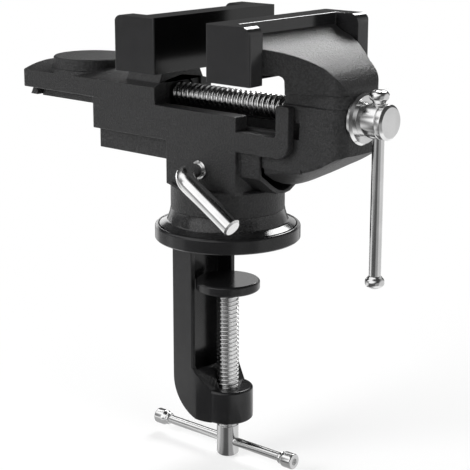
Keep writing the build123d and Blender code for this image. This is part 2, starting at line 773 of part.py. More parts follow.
# ---------------------------------------------------------------- lock lever
def lock_lever():
    """A bent rod: its short leg has a threaded neck in the body, its long leg is the handle."""
    turn = radians(lock_leg_angle)
    inner_y = -(post_radius - post_groove_depth + running + lock_tip_length)
    shoulder_y = -body_half - lock_neck_length
    end = (lock_leg_length * cos(turn), lock_leg_y, lock_z + lock_leg_length * sin(turn))
    path = FilletPolyline((0, shoulder_y, lock_z), (0, lock_leg_y, lock_z), end, radius=lock_bend)
    start = Plane(origin=(0, shoulder_y, lock_z), z_dir=(0, -1, 0))
    rod = sweep(start * Circle(lock_radius), path=path)
    rims = rod.edges().filter_by(GeomType.CIRCLE)
    tips = [rims.sort_by_distance(point)[0] for point in (end, (0, shoulder_y, lock_z))]
    return chamfer(tips, lock_chamfer) + along_y(lock_neck_radius, shoulder_y - 1, inner_y)


def lock_washer():
    """The seal round the lever's neck, on the wall."""
    ring = along_y(lock_ring_radius, -body_half - lock_ring_thick, -body_half)
    ring = chamfer(ring.edges().group_by(Axis.Y)[0], lock_ring_thick / 3)
    return ring - along_y(lock_neck_radius + loose, -body_half - lock_ring_thick - 1, -body_half + 1)


def lock_tip():
    outer = -(post_radius - post_groove_depth + running)
    return along_y(lock_tip_radius, outer - lock_tip_length, outer)


# ---------------------------------------------------------------- clamp screw
def pressure_disc():
    disc = chamfer(upright(disc_radius, disc_bottom_z, disc_top_z).edges().filter_by(GeomType.CIRCLE), 0.7)
    disc -= upright(disc_socket_radius, disc_bottom_z - 1, disc_bottom_z + disc_socket_depth)
    low, high = disc_ring_heights()
    return disc - upright(disc_ring_outer + loose, low - running, high + running)


def disc_ring_heights():
    """Lower and upper face of the ring that holds the disc on the clamp screw."""
    low = disc_bottom_z + disc_socket_depth / 2
    return low, low + disc_ring_thick


def disc_ring():
    """The sprung ring in the disc's socket, which lets the disc turn on the clamp screw's end."""
    low, high = disc_ring_heights()
    ring = upright(disc_ring_outer, low, high) - upright(disc_ring_inner, low - 1, high + 1)
    return ring - block(0, disc_ring_outer + 1, -disc_ring_gap / 2, disc_ring_gap / 2, low - 1, high + 1)


def clamp_screw():
    seat = disc_bottom_z + disc_socket_depth - running
    spigot = disc_socket_radius - running
    start = disc_bottom_z - 1.5
    low, high = disc_ring_heights()
    groove = disc_ring_inner - running
    points = [(0, seat), (spigot, seat), (spigot, high + running), (groove, high + running),
              (groove, low - running), (spigot, low - running), (spigot, start)]
    rows = thread_outline(clamp_thread_radius, clamp_thread_depth, clamp_pitch, clamp_thread_end_z,
                          start - 0.2)
    points += list(reversed(rows))
    groove = clamp_thread_radius - clamp_thread_depth
    points += [(groove, clamp_thread_end_z), (groove, clamp_thread_end_z - 0.6),
               (clamp_head_radius, clamp_thread_end_z - 0.6), (clamp_head_radius, clamp_head_bottom_z + 0.8),
               (clamp_head_radius - 0.8, clamp_head_bottom_z), (0, clamp_head_bottom_z)]
    bar_hole = along_x(bar_radius + loose, -clamp_head_radius - 1, clamp_head_radius + 1, 0, bar_z)
    return turned(points) - bar_hole


def t_bar():
    rod = along_x(bar_radius, bar_left_x + bar_knob_length, bar_right_x - bar_knob_length, 0, bar_z)
    return rod + along_x(bar_radius - 0.5, bar_left_x, bar_right_x, 0, bar_z)


def t_bar_knob(base_x, way):
    rows = ((0.62, 0.0), (0.7, 0.1), (1.0, 0.32), (1.0, 0.78), (0.84, 0.93), (0.58, 1.0))
    inner = bar_radius - 0.5
    points = [(share * bar_knob_radius, base_x + way * rise * bar_knob_length) for share, rise in rows]
    points = [(inner, base_x)] + points + [(inner, base_x + way * bar_knob_length)]
    outline = Polyline(*[(x, 0, bar_z + r) for r, x in points], close=True)
    return revolve(make_face(outline), Axis((0, 0, bar_z), (1, 0, 0)))


# ---------------------------------------------------------------- all pieces
def all_parts():
    return {
        "clamp_frame": clamp_frame(),
        "swivel_post": swivel_post(),
        "post_screw": post_screw(),
        "friction_washer": friction_washer(),
        "vise_body": vise_body(),
        "fixed_jaw_pad": jaw_pad(fixed_face_x, -1),
        "fixed_pad_magnets": pad_magnets(fixed_face_x, -1),
        "screw_nut": screw_nut(),
        "nut_pin": nut_pin(),
        "moving_jaw": moving_jaw(),
        "moving_jaw_pad": jaw_pad(moving_face_x, 1),
        "moving_pad_magnets": pad_magnets(moving_face_x, 1),
        "slide_end_plate": slide_end_plate(),
        "slide_end_screws": slide_end_screws(),
        "thrust_washer": thrust_washer(),
        "main_screw": main_screw(),
        "screw_collar": screw_collar(),
        "retaining_ring": retaining_ring(),
        "handle_rod": handle_rod(),
        "handle_knob_top": handle_knob_top(),
        "handle_knob_bottom": handle_knob_bottom(),
        "lock_lever": lock_lever(),
        "lock_washer": lock_washer(),
        "lock_tip": lock_tip(),
        "pressure_disc": pressure_disc(),
        "disc_ring": disc_ring(),
        "clamp_screw": clamp_screw(),
        "t_bar": t_bar(),
        "t_bar_knob_left": t_bar_knob(bar_left_x + bar_knob_length, -1),
        "t_bar_knob_right": t_bar_knob(bar_right_x - bar_knob_length, 1),
    }


os.makedirs("parts", exist_ok=True)
for name, shape in all_parts().items():
    export_step(shape, f"parts/{name}.step")
    print(name, round(shape.volume), "mm3")
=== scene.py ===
# %% [markdown]
# # A table-clamp vise on a swivel base
#
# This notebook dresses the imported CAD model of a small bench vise. The CAD pieces already have their sizes
# and their places, so nothing is fitted here: castings get the rounded edges and the grain of their
# coating, the two screws get real helical threads, and every piece gets the finish of the real one. All
# lengths are in metres, the origin is on the swivel axis in the plane of the table, +Z is up and +X runs
# along the main screw towards its handle.

# %% Load the frame
import json
from math import cos, pi, radians, sin

import bmesh
import bpy
from mathutils import Matrix, Vector

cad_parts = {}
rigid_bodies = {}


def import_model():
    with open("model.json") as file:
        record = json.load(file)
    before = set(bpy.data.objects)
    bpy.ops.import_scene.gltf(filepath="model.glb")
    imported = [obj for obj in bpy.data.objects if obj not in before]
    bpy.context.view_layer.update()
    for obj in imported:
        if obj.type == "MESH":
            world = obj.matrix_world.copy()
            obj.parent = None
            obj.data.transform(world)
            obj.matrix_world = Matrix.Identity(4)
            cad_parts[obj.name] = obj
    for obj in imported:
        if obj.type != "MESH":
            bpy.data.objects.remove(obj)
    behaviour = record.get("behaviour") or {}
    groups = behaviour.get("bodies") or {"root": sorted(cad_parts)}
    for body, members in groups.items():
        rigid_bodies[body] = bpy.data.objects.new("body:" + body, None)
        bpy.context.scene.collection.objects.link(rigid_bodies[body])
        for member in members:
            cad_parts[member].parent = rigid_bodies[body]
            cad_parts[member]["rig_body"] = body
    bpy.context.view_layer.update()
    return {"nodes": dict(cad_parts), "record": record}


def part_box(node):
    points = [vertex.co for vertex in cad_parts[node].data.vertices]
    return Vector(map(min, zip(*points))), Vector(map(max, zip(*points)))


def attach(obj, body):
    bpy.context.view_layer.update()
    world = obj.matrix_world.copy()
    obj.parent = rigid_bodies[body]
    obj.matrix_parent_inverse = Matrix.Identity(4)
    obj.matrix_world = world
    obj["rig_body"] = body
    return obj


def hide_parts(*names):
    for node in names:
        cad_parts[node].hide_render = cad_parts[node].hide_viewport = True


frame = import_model()
nodes = frame["nodes"]
slot_of = {part["node"]: part["material_slot"] for part in frame["record"]["subparts"]}

# %% [markdown]
# ## The camera
#
# The photograph was taken from the front right, a little above the jaws, with a long lens, so upright edges
# stay nearly parallel. The place and the three directions of the camera were fitted to the edges of the
# jaws and the round base. A camera looks along its own -Z, so the columns of its matrix are its right, its
# up and the way back to the lens.

# %% Camera
mm = 0.001
image_side = 470
focal_pixels = 1451.757
sensor_width = 36.0
lens_centre = (227.991, 226.248)
view_from = Vector((430.5, -478.9, 169.3)) * mm
view_right = Vector((0.74379, 0.66841, 0.0))
view_up = Vector((-0.16545, 0.18410, 0.96888))
view_back = Vector((0.64761, -0.72064, 0.24752))
view_turn = Matrix((view_right, view_up, view_back)).transposed()


def new_object(name, data):
    """Make an object from its data and link it to the scene."""
    made = bpy.data.objects.new(name, data)
    bpy.context.scene.collection.objects.link(made)
    return made


camera_data = bpy.data.cameras.new("photo_camera")
camera_data.sensor_width = sensor_width
camera_data.lens = focal_pixels / image_side * sensor_width
camera_data.shift_x = (image_side / 2 - lens_centre[0]) / image_side
camera_data.shift_y = (lens_centre[1] - image_side / 2) / image_side
camera = new_object("photo_camera", camera_data)
camera.matrix_world = Matrix.Translation(view_from) @ view_turn.to_4x4()
bpy.context.scene.camera = camera
bpy.context.scene.view_settings.view_transform = "Standard"
print("lens", round(camera_data.lens, 1), "mm")
print("shift", round(camera_data.shift_x, 4), round(camera_data.shift_y, 4))

# %% [markdown]
# ## Shader maths as plain expressions
#
# A material in Blender is a graph of nodes. Written by hand it takes many lines, so a small class wraps one
# output of a node. Adding or multiplying two of them makes the Math node that does it, and every other kind
# of node comes from one method, which sets the node's own settings first and then fills its sockets.


# %% One class for sockets
class Signal:
    """One output of a node, or a whole tree to start from."""

    def __init__(self, tree, socket=None):
        self.tree = tree
        self.socket = socket

    def node(self, kind, settings=None, sockets=None, out=0):
        """Add a node: its settings first, then the values or links of its sockets."""
        made = self.tree.nodes.new(kind)
        for name, value in (settings or {}).items():
            setattr(made, name, value)
        for name, value in (sockets or {}).items():
            if isinstance(value, Signal):
                self.tree.links.new(value.socket, made.inputs[name])
            else:
                made.inputs[name].default_value = value
        return Signal(self.tree, made.outputs[out] if made.outputs else None)

    def math(self, operation, *values):
        return self.node("ShaderNodeMath", {"operation": operation}, dict(enumerate(values)))

    def __add__(self, other):
        return self.math("ADD", self, other)

    def __sub__(self, other):
        return self.math("SUBTRACT", self, other)

    def __rsub__(self, other):
        return self.math("SUBTRACT", other, self)

    def __mul__(self, other):
        return self.math("MULTIPLY", self, other)

    __radd__ = __add__
    __rmul__ = __mul__

    def between(self, low, high):
        """0 below low, 1 above high, with a smooth step in between."""
        return self.node("ShaderNodeMapRange", {"interpolation_type": "SMOOTHSTEP"},
                         {"Value": self, "From Min": low, "From Max": high})

    def vector_math(self, operation, *values, out=0):
        return self.node("ShaderNodeVectorMath", {"operation": operation}, dict(enumerate(values)), out)

    def axis(self, index):
        """One number of a vector: 0 is X, 1 is Y and 2 is Z."""
        return self.node("ShaderNodeSeparateXYZ", None, {0: self}, out=index)

    def place(self):
        """Where on the object a point of its surface is, in metres."""
        return self.node("ShaderNodeTexCoord", out="Object")

    def noise(self, place, scale, detail=2.0, roughness=0.5):
        """Cloudy values round 0.5; scale is in features to a metre."""
        return self.node("ShaderNodeTexNoise", None, {
            "Vector": place, "Scale": scale, "Detail": detail, "Roughness": roughness})

    def tint(self, mask, dark, light):
        """A colour between two others, by a mask from 0 to 1."""
        return self.node("ShaderNodeMix", {"data_type": "RGBA"},
                         {0: mask, 6: (*dark, 1.0), 7: (*light, 1.0)}, out=2)

    def bump(self, height, distance):
        return self.node("ShaderNodeBump", None, {"Height": height, "Distance": distance})


# %% [markdown]
# ## Starting and closing a finish
#
# Each finish of the vise is one material with one Principled shader. What differs is what feeds that
# shader, so two helpers do the rest: one starts an empty material, and one closes it with the shader and
# counts its nodes.


# %% Start and close
def start_finish(name):
    """An empty material and the signal that its nodes start from."""
    finish = bpy.data.materials.new(name)
    finish.use_nodes = True
    finish.node_tree.nodes.clear()
    return finish, Signal(finish.node_tree)


def close_finish(finish, signal, sockets):
    """Give the material its Principled shader with these sockets."""
    shader = signal.node("ShaderNodeBsdfPrincipled", None, sockets)
    signal.node("ShaderNodeOutputMaterial", None, {"Surface": shader})
    print("finish", finish.name, "with", len(finish.node_tree.nodes), "nodes")
    return finish


finishes = {}

# %% [markdown]
# ## Textured black coating
#
# The castings are coated with a wrinkled black powder paint. Up close it is a field of small round grains,
# under a millimetre across, that catch the light one by one. It could be modelled as real dents, but there
# are thousands of them, so two sizes of noise do it: the fine one is the grain, the coarse one makes the
# coat a little thicker here and there. Both go into a bump, and the grain also moves the roughness, so that
# tops which face away from the camera sparkle. The grain moves the colour as well, darker in the dips and
# lighter on the grains: that is painted shade in the dips and a painted glint on the grains. The foot of
# the body's neck is a smooth turned face, so it has the same paint without the grain's bump and roughness.


# %% Casting finish
grains_to_a_metre = 1050.0
patches_to_a_metre = 160.0
paint_step = 0.2 * mm


def textured_coating(name, dark, light, relief, turned_below=-1.0):
    """Grainy paint; below the height turned_below the same paint lies on a smooth turned face."""
    finish, signal = start_finish(name)
    place = signal.place()
    textured = place.axis(2).between(turned_below - paint_step, turned_below + paint_step)
    grain = signal.noise(place, grains_to_a_metre, 3.0, 0.65)
    patch = signal.noise(place, patches_to_a_metre)
    # The colour follows the grain: painted shade in its dips and a painted glint on its tops.
    return close_finish(finish, signal, {
        "Base Color": signal.tint((grain * 0.92 + patch * 0.08).between(0.36, 0.66), dark, light),
        "Roughness": 0.16 + textured * (0.16 + grain * 0.24),
        "Specular IOR Level": 0.48,
        "Normal": signal.bump((grain + patch * 0.1) * textured, relief),
    })


neck_foot_top = 14.6 * mm
# The dark colour is painted shade in the grain's dips, and the light one is a painted glint on its tops.
coat_with_painted_dip_shade = (0.008, 0.008, 0.0082)
coat_with_painted_grain_glint = (0.021, 0.021, 0.0215)
finishes["black_casting"] = textured_coating("black_casting_coat", coat_with_painted_dip_shade, coat_with_painted_grain_glint,
                                             0.40 * mm, neck_foot_top)

# %% [markdown]
# ## Smooth black coating
#
# The clamp frame, the round base, the pressure disc and the jaw pads have a smoother, glossier black paint.
# It isn't a mirror: a slow ripple of a few millimetres, called orange peel, bends the reflections slightly,
# and fine dust dulls it here and there. The two faces that grip the work face each other in the shade
# between the jaws, so a mask by the distance along the screw darkens those two faces alone to a tenth of
# their colour: that is painted shade.


# %% Frame, disc and pad finishes
ripples_to_a_metre = 260.0
dust_to_a_metre = 1900.0
face_inner = 0.2 * mm
face_outer = 0.3 * mm


def smooth_coating(name, colour, gloss, peel, dulling, gleam, shaded_grip_faces=()):
    """Glossy paint; the faces across X at the places given last are darkened with painted shade."""
    finish, signal = start_finish(name)
    place = signal.place()
    along = place.axis(0)
    ripple = signal.noise(place, ripples_to_a_metre)
    dust = signal.noise(place, dust_to_a_metre)
    # Painted shade: the two grip faces are darkened to a tenth of the paint's colour.
    painted_shade_black = tuple(0.1 * value for value in colour)
    shade = 0.8 + 0.2 * ripple.between(0.3, 0.7)
    for face_x in shaded_grip_faces:
        behind = along.between(face_x - face_outer, face_x - face_inner)
        beyond = along.between(face_x + face_inner, face_x + face_outer)
        shade = shade * (1.0 - behind * (1.0 - beyond))
    return close_finish(finish, signal, {
        "Base Color": signal.tint(shade, painted_shade_black, colour),
        "Roughness": gloss + dust * dulling,
        "Specular IOR Level": gleam,
        "Normal": signal.bump(ripple + dust * 0.12, peel),
    })


fixed_grip_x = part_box("fixed_jaw_pad")[1][0]
moving_grip_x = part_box("moving_jaw_pad")[0][0]
finishes["black_frame"] = smooth_coating(
    "black_frame_paint", colour=(0.010, 0.010, 0.0105), gloss=0.14, peel=0.02 * mm, dulling=0.08, gleam=0.45)
# The pads darken their two grip faces with painted shade.
finishes["black_pad"] = smooth_coating(
    "black_pad_face", colour=(0.013, 0.013, 0.0135), gloss=0.12, peel=0.010 * mm, dulling=0.06, gleam=0.60,
    shaded_grip_faces=(fixed_grip_x, moving_grip_x))

# %% [markdown]
# ## Bright plating and machined steel
#
# Chrome plate is almost a mirror. What makes it look real is what it lacks: a perfectly even polish. Fine
# scratches and a faint haze change its roughness from place to place. Machined steel is the same idea with
# more roughness and tool marks, and so are the blackened screws, the brass tip and the nickel of the
# magnets. One helper makes them all, from a table of their two colours, their gloss, their haze and the
# depth of their marks.


# %% Metal finishes
clouds_to_a_metre = 90.0
scratches_to_a_metre = 2600.0


def metal(name, dark, light, gloss, haze, marks):
    """A metal whose colour and roughness change a little from place to place."""
    finish, signal = start_finish(name)
    place = signal.place()
    cloud = signal.noise(place, clouds_to_a_metre, 3.0)
    scratch = signal.noise(place, scratches_to_a_metre, 2.0, 0.7)
    return close_finish(finish, signal, {
        "Base Color": signal.tint(cloud.between(0.35, 0.65), dark, light),
        "Metallic": 1.0,
        "Roughness": gloss + cloud * haze + scratch * haze * 0.5,
        "Normal": signal.bump(scratch, marks),
    })


metal_table = {
    "bright_chrome": ("bright_plating", (0.78, 0.78, 0.78), (0.86, 0.86, 0.86), 0.10, 0.08, 0.001 * mm),
    "bare_steel": ("machined_steel", (0.42, 0.42, 0.41), (0.56, 0.56, 0.55), 0.22, 0.14, 0.010 * mm),
    "blackened_steel": ("blackened_steel", (0.02, 0.02, 0.02), (0.05, 0.05, 0.05), 0.35, 0.14, 0.010 * mm),
    "magnet": ("nickel_magnet", (0.44, 0.43, 0.42), (0.52, 0.51, 0.50), 0.15, 0.10, 0.006 * mm),
    "brass": ("machined_brass", (0.62, 0.43, 0.18), (0.74, 0.54, 0.26), 0.20, 0.12, 0.008 * mm),
}
for slot, row in metal_table.items():
    finishes[slot] = metal(*row)

# %% [markdown]
# ## Dressing the pieces
#
# The record gives each piece the name of its finish, so one loop dresses them all. The washer under the
# turning neck is dark grey plastic with a fine grain. The small ring round the lock lever is recorded as a
# plastic seal, but its face is bright in the photograph, so it gets the plating of the lever.

# %% Finishes on the pieces
# Its grain, too, is painted shade in the dips and a painted glint on the tops.
finishes["friction_plastic"] = textured_coating("friction_plastic", (0.05, 0.05, 0.05), (0.08, 0.08, 0.08),
                                                0.03 * mm)
for name, node in nodes.items():
    finish = finishes["bright_chrome" if name == "lock_washer" else slot_of[name]]
    for material_slot in node.material_slots:
        material_slot.material = finish
print("finishes on", len(nodes), "nodes")

# %% [markdown]
# ## Copies of the castings
#
# CAD edges are perfectly sharp, but no real edge is: a casting leaves the sand with edges of about half a
# millimetre, and the paint rounds them further. Those narrow rounds catch the light and draw the bright
# lines along the deck. A node's mesh must stay as it is, so each casting is copied. Welding joins the split
# corners of the imported mesh, and dissolving joins flat triangles into one face. The copy then stands for
# its node: it rides the same body and has the same finish.

# %% Helpers for copies
weld_distance = 0.002 * mm
flat_angle = radians(0.4)


def new_piece(name, mesh, replaced):
    """Link a mesh as a piece that stands for a CAD node: the same body and the finish of its slot."""
    piece = new_object(name, mesh)
    mesh.materials.clear()
    mesh.materials.append(finishes[slot_of[replaced]])
    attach(piece, nodes[replaced]["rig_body"])
    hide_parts(replaced)
    return piece


def mesh_from(name, shape):
    """A new mesh from a bmesh, which isn't needed after that."""
    mesh = bpy.data.meshes.new(name)
    shape.to_mesh(mesh)
    shape.free()
    return mesh


def welded_copy(node_name):
    """The node's mesh as a bmesh with joined corners and whole flat faces."""
    shape = bmesh.new()
    shape.from_mesh(nodes[node_name].data)
    bmesh.ops.remove_doubles(shape, verts=shape.verts, dist=weld_distance)
    bmesh.ops.dissolve_limit(shape, angle_limit=flat_angle, verts=shape.verts, edges=shape.edges)
    return shape


def finished_mesh(name, shape, sharp=radians(35)):
    """Turn a bmesh into a smooth-shaded mesh whose edges over the sharp angle stay crisp."""
    mesh = mesh_from(name, shape)
    if "custom_normal" in mesh.attributes:
        mesh.attributes.remove(mesh.attributes["custom_normal"])
    mesh.shade_smooth()
    mesh.set_sharp_from_angle(angle=sharp)
    return mesh


print("copies weld corners within", weld_distance / mm, "mm")

# %% [markdown]
# ## Which edges are rounded
#
# A Bevel modifier could round every sharp edge, but where a face is narrower than the round the faces would
# fold over each other. So each edge is weighed first: it has to be sharp, long enough, and with room on
# both sides. The moving jaw runs in the body on flat faces with 0.3 mm between them. A round in an inner
# corner fills that corner, so the edges of the slide and its channel stay square, and the two castings
# never touch.

# %% Marking edges
slide_half = 16.5 * mm
slide_bottom = 38.5 * mm
slide_top = 55.0 * mm


def room_beside(edge):
    """How far the faces beside an edge reach away from it: the smaller of the two."""
    start, end = (corner.co for corner in edge.verts)
    along = (end - start).normalized()
    reach = []
    for face in edge.link_faces:
        across = face.normal.cross(along)
        offsets = [(corner.co - start).dot(across) for corner in face.verts]
        reach.append(max(max(offsets), -min(offsets)))
    return min(reach)


def on_the_slide(edge):
    """Whether an edge belongs to the jaw's slide or to its channel."""
    return all(abs(corner.co.y) < slide_half and slide_bottom < corner.co.z < slide_top
               for corner in edge.verts)


def marked_for_rounding(shape, edge_radius, sharp):
    """Give a bevel weight to every sharp edge whose faces leave room for the round."""
    weight = shape.edges.layers.float.new("bevel_weight_edge")
    marked = 0
    for edge in shape.edges:
        if len(edge.link_faces) != 2 or edge.calc_face_angle() < sharp or on_the_slide(edge):
            continue
        if edge.calc_length() > 2.0 * edge_radius and room_beside(edge) > 2.5 * edge_radius:
            edge[weight] = 1.0
            marked += 1
    return marked


def rounded_casting(node_name, edge_radius, segments=3, sharp=radians(32)):
    """Copy a casting and round its marked edges with a Bevel modifier."""
    shape = welded_copy(node_name)
    marked = marked_for_rounding(shape, edge_radius, sharp)
    piece = new_piece(node_name + "_cast", finished_mesh(node_name + "_cast", shape), node_name)
    bevel = piece.modifiers.new("cast edges", "BEVEL")
    bevel.width = edge_radius
    bevel.segments = segments
    bevel.limit_method = "WEIGHT"
    bevel.use_clamp_overlap = False
    bevel.harden_normals = True
    normals = piece.modifiers.new("even shading", "WEIGHTED_NORMAL")
    normals.keep_sharp = True
    print(piece.name, marked, "edges rounded")


# %% Rounded castings and pads
rounded_casting("vise_body", 0.45 * mm)
rounded_casting("moving_jaw", 0.45 * mm)
rounded_casting("clamp_frame", 0.35 * mm)
rounded_casting("fixed_jaw_pad", 0.45 * mm)
rounded_casting("moving_jaw_pad", 0.45 * mm)
rounded_casting("slide_end_plate", 0.2 * mm, 2)
rounded_casting("pressure_disc", 0.3 * mm)

# %% [markdown]
# ## Real threads
#
# In the CAD model the threads are rings, one beside the other. A real thread is one ridge that winds round
# the rod. It is made by walking along the helix in small steps of angle and laying down the profile of the
# ridge at each step. The ridge has a rounded top, as a rolled thread has, so that it shines over its whole
# width. The last line of the profile joins the first line of the next turn. The long surface is then cut
# square at both ends and capped.

# %% Helix
thread_profile = ((0.0, 0.72), (0.05, 0.91), (0.13, 1.0), (0.33, 1.0), (0.41, 0.91), (0.46, 0.72),
                  (0.57, 0.12), (0.62, 0.0), (0.80, 0.0), (0.86, 0.12))
helix_steps = 48


def cut_and_capped(shape, point, outwards):
    """Take away what lies outwards of a plane, and close the cut with a face."""
    parts = list(shape.verts) + list(shape.edges) + list(shape.faces)
    cut = bmesh.ops.bisect_plane(shape, geom=parts, dist=weld_distance / 10, plane_co=point,
                                 plane_no=outwards, clear_outer=True)
    rim = [part for part in cut["geom_cut"] if isinstance(part, bmesh.types.BMEdge) and part.is_boundary]
    bmesh.ops.edgeloop_fill(shape, edges=rim)
    return shape


def helix_rod(crest, depth, pitch, start, end, lead):
    """A closed threaded rod along +X from start to end; over the lead at each end the ridge fades away."""
    rod = bmesh.new()
    rows = []
    turns = int((end - start) / pitch) + 3
    for step in range(turns * helix_steps + 1):
        angle = 2 * pi * step / helix_steps
        row = []
        for share, height in thread_profile:
            along = start + pitch * (step / helix_steps - 1.5 + share)
            fade = min(1.0, max(0.0, min(along - start, end - along) / lead))
            radius = crest - depth + depth * height * fade
            row.append(rod.verts.new((along, radius * cos(angle), radius * sin(angle))))
        rows.append(row)
    for step, (row, following) in enumerate(zip(rows, rows[1:])):
        for line in range(len(row) - 1):
            rod.faces.new((row[line], row[line + 1], following[line + 1], following[line]))
        if step + 1 + helix_steps < len(rows):
            next_turn = rows[step + helix_steps]
            next_turn_following = rows[step + 1 + helix_steps]
            rod.faces.new((row[-1], next_turn[0], next_turn_following[0], following[-1]))
    cut_and_capped(rod, (start, 0, 0), (-1, 0, 0))
    cut_and_capped(rod, (end, 0, 0), (1, 0, 0))
    bmesh.ops.recalc_face_normals(rod, faces=rod.faces)
    return rod


print("the ridge has", len(thread_profile), "lines and", helix_steps, "steps to a turn")

# %% [markdown]
# ## Turned parts
#
# The plain parts of the screws and the knobs come off a lathe. An outline of lengths and radii is rounded
# at its corners, which gives the fine highlights of turned edges, and then swept round the axis in steps of
# a few degrees.

# %% Lathe
lathe_steps = 96
corner_steps = 5


def softened(outline, edge_round):
    """The outline with each inner corner replaced by a small curve, in the outline's own unit."""
    points = [Vector(corner) for corner in outline]
    soft = [points[0]]
    for before, corner, after in zip(points, points[1:], points[2:]):
        back = before - corner
        forth = after - corner
        reach = min(edge_round, 0.45 * back.length, 0.45 * forth.length)
        start = corner + back.normalized() * reach
        end = corner + forth.normalized() * reach
        for step in range(corner_steps + 1):
            share = step / corner_steps
            soft.append(start * (1 - share) ** 2 + corner * 2 * share * (1 - share) + end * share ** 2)
    return soft + [points[-1]]


def turned(outline, edge_round):
    """A closed bmesh turned about X; its outline of (length, radius) in millimetres starts and ends on X."""
    shape = bmesh.new()
    rings = []
    in_metres = [(along * mm, radius * mm) for along, radius in outline]
    for along, radius in softened(in_metres, edge_round * mm)[1:-1]:
        ring = []
        for step in range(lathe_steps):
            angle = 2 * pi * step / lathe_steps
            ring.append(shape.verts.new((along, radius * cos(angle), radius * sin(angle))))
        rings.append(ring)
    for ring, following in zip(rings, rings[1:]):
        for step in range(lathe_steps):
            after = (step + 1) % lathe_steps
            shape.faces.new((ring[step], ring[after], following[after], following[step]))
    shape.faces.new(rings[0])
    shape.faces.new(rings[-1])
    bmesh.ops.recalc_face_normals(shape, faces=shape.faces)
    return shape


print("the lathe takes", lathe_steps, "steps to a turn")

# %% [markdown]
# ## Placing, joining and drilling
#
# Both screws are built along +X, joined from a thread and turned ends, drilled across for their bars, and
# then moved to their place. The cross holes are cut with an exact Boolean, because the bar has to be seen
# going through.

# %% Helpers for the screws
x_to_z = Matrix.Rotation(radians(-90), 4, "Y")


def placed(shape, turn=Matrix(), shift=(0, 0, 0)):
    """Turn a bmesh and then move it by a shift in millimetres."""
    shape.transform(Matrix.Translation(Vector(shift) * mm) @ turn.to_4x4())
    return shape


def joined(shapes):
    """Put several bmeshes into the first one."""
    whole = shapes[0]
    for other in shapes[1:]:
        helper = mesh_from("helper", other)
        whole.from_mesh(helper)
        bpy.data.meshes.remove(helper)
    return whole


def drilled(shape, along, radius, reach):
    """Drill a hole upwards through a bmesh that lies along X, from -reach to +reach."""
    drill = turned([(-reach, 0), (-reach, radius), (reach, radius), (reach, 0)], 0)
    placed(drill, x_to_z, (along, 0, 0))
    holders = [new_object("holder", mesh_from("holder", part)) for part in (shape, drill)]
    cut = holders[0].modifiers.new("hole", "BOOLEAN")
    cut.object = holders[1]
    cut.operation = "DIFFERENCE"
    cut.solver = "EXACT"
    bpy.context.view_layer.update()
    result = bmesh.new()
    result.from_object(holders[0], bpy.context.evaluated_depsgraph_get())
    for holder in holders:
        mesh = holder.data
        bpy.data.objects.remove(holder)
        bpy.data.meshes.remove(mesh)
    return result


# %% [markdown]
# ## The main screw
#
# The main screw draws the jaw in and out. Behind its thread it has a plain journal with the groove of a
# retaining ring, which pulls the jaw open, and in front the thick head with its turned line and the hole of
# the handle. The lengths are in millimetres along the screw.

# %% Main screw
splice = 0.1
screw_axis_z = 63.5
thread_start = -72.0
thread_stop = 49.05
journal_radius = 5.0
groove_start = 51.05
groove_stop = 52.25
groove_radius = 4.2
head_start = 77.25
head_line_x = 86.1
head_line_radius = 7.1
head_radius = 7.5
head_stop = 89.7
handle_x = 83.4
handle_hole_radius = 2.7

screw_thread = helix_rod(crest=5.25 * mm, depth=1.1 * mm, pitch=3.0 * mm, start=thread_start * mm,
                         end=(thread_stop - splice) * mm, lead=1.2 * mm)
journal_and_head = turned([
    (thread_stop - 2 * splice, 0), (thread_stop - 2 * splice, journal_radius),
    (groove_start, journal_radius), (groove_start, groove_radius),
    (groove_stop, groove_radius), (groove_stop, journal_radius),
    (head_start, journal_radius), (head_start, head_radius),
    (head_line_x - 0.2, head_radius), (head_line_x, head_line_radius), (head_line_x + 0.2, head_radius),
    (head_stop - 1.1, head_radius), (head_stop, head_radius - 1.1), (head_stop, 0)],
    edge_round=0.18)
head = drilled(journal_and_head, handle_x, handle_hole_radius, reach=9)
main_shape = joined([head, screw_thread])
placed(main_shape, shift=(0, 0, screw_axis_z))
main_mesh = finished_mesh("main_screw_threaded", main_shape)
main_screw = new_piece("main_screw_threaded", main_mesh, "main_screw")
print(main_screw.name, len(main_screw.data.polygons), "faces")

# %% [markdown]
# ## The clamp screw
#
# The same helix, stood upright: X is turned to Z. Its pitch is finer than that of the main screw. Its upper
# tip sits inside the pressure disc and hardly shows, so that part is cut from the CAD node and joined to
# the thread.

# %% Clamp screw
clamp_bottom = -106.5
clamp_start = -91.0
clamp_stop = -26.8
clamp_radius = 5.2
clamp_root = 4.4
bar_z = -99.5
bar_hole_radius = 2.2

clamp_thread = helix_rod(crest=clamp_radius * mm, depth=0.8 * mm, pitch=2.0 * mm,
                         start=(clamp_start - splice) * mm, end=clamp_stop * mm, lead=0.6 * mm)
plain_end = turned([
    (clamp_bottom, 0), (clamp_bottom, clamp_radius - 0.8), (clamp_bottom + 0.8, clamp_radius),
    (clamp_start - 0.6, clamp_radius), (clamp_start - 0.3, clamp_root),
    (clamp_start, clamp_root), (clamp_start, 0)],
    edge_round=0.25)
clamp_end = drilled(plain_end, bar_z, bar_hole_radius, reach=7)
clamp_shape = placed(joined([clamp_end, clamp_thread]), x_to_z)
clamp_tip = cut_and_capped(welded_copy("clamp_screw"), (0, 0, (clamp_stop - splice) * mm), (0, 0, -1))
clamp_mesh = finished_mesh("clamp_screw_threaded", joined([clamp_shape, clamp_tip]))
clamp_screw = new_piece("clamp_screw_threaded", clamp_mesh, "clamp_screw")
print(clamp_screw.name, len(clamp_screw.data.polygons), "faces")

# %% [markdown]
# ## Knobs
#
# The knobs are turned too. Each starts at its seat on the rod, swells to its full radius and ends in a flat
# face with a rounded rim. Those of the handle are short and full, those of the cross bar have a bead and a
# longer barrel.

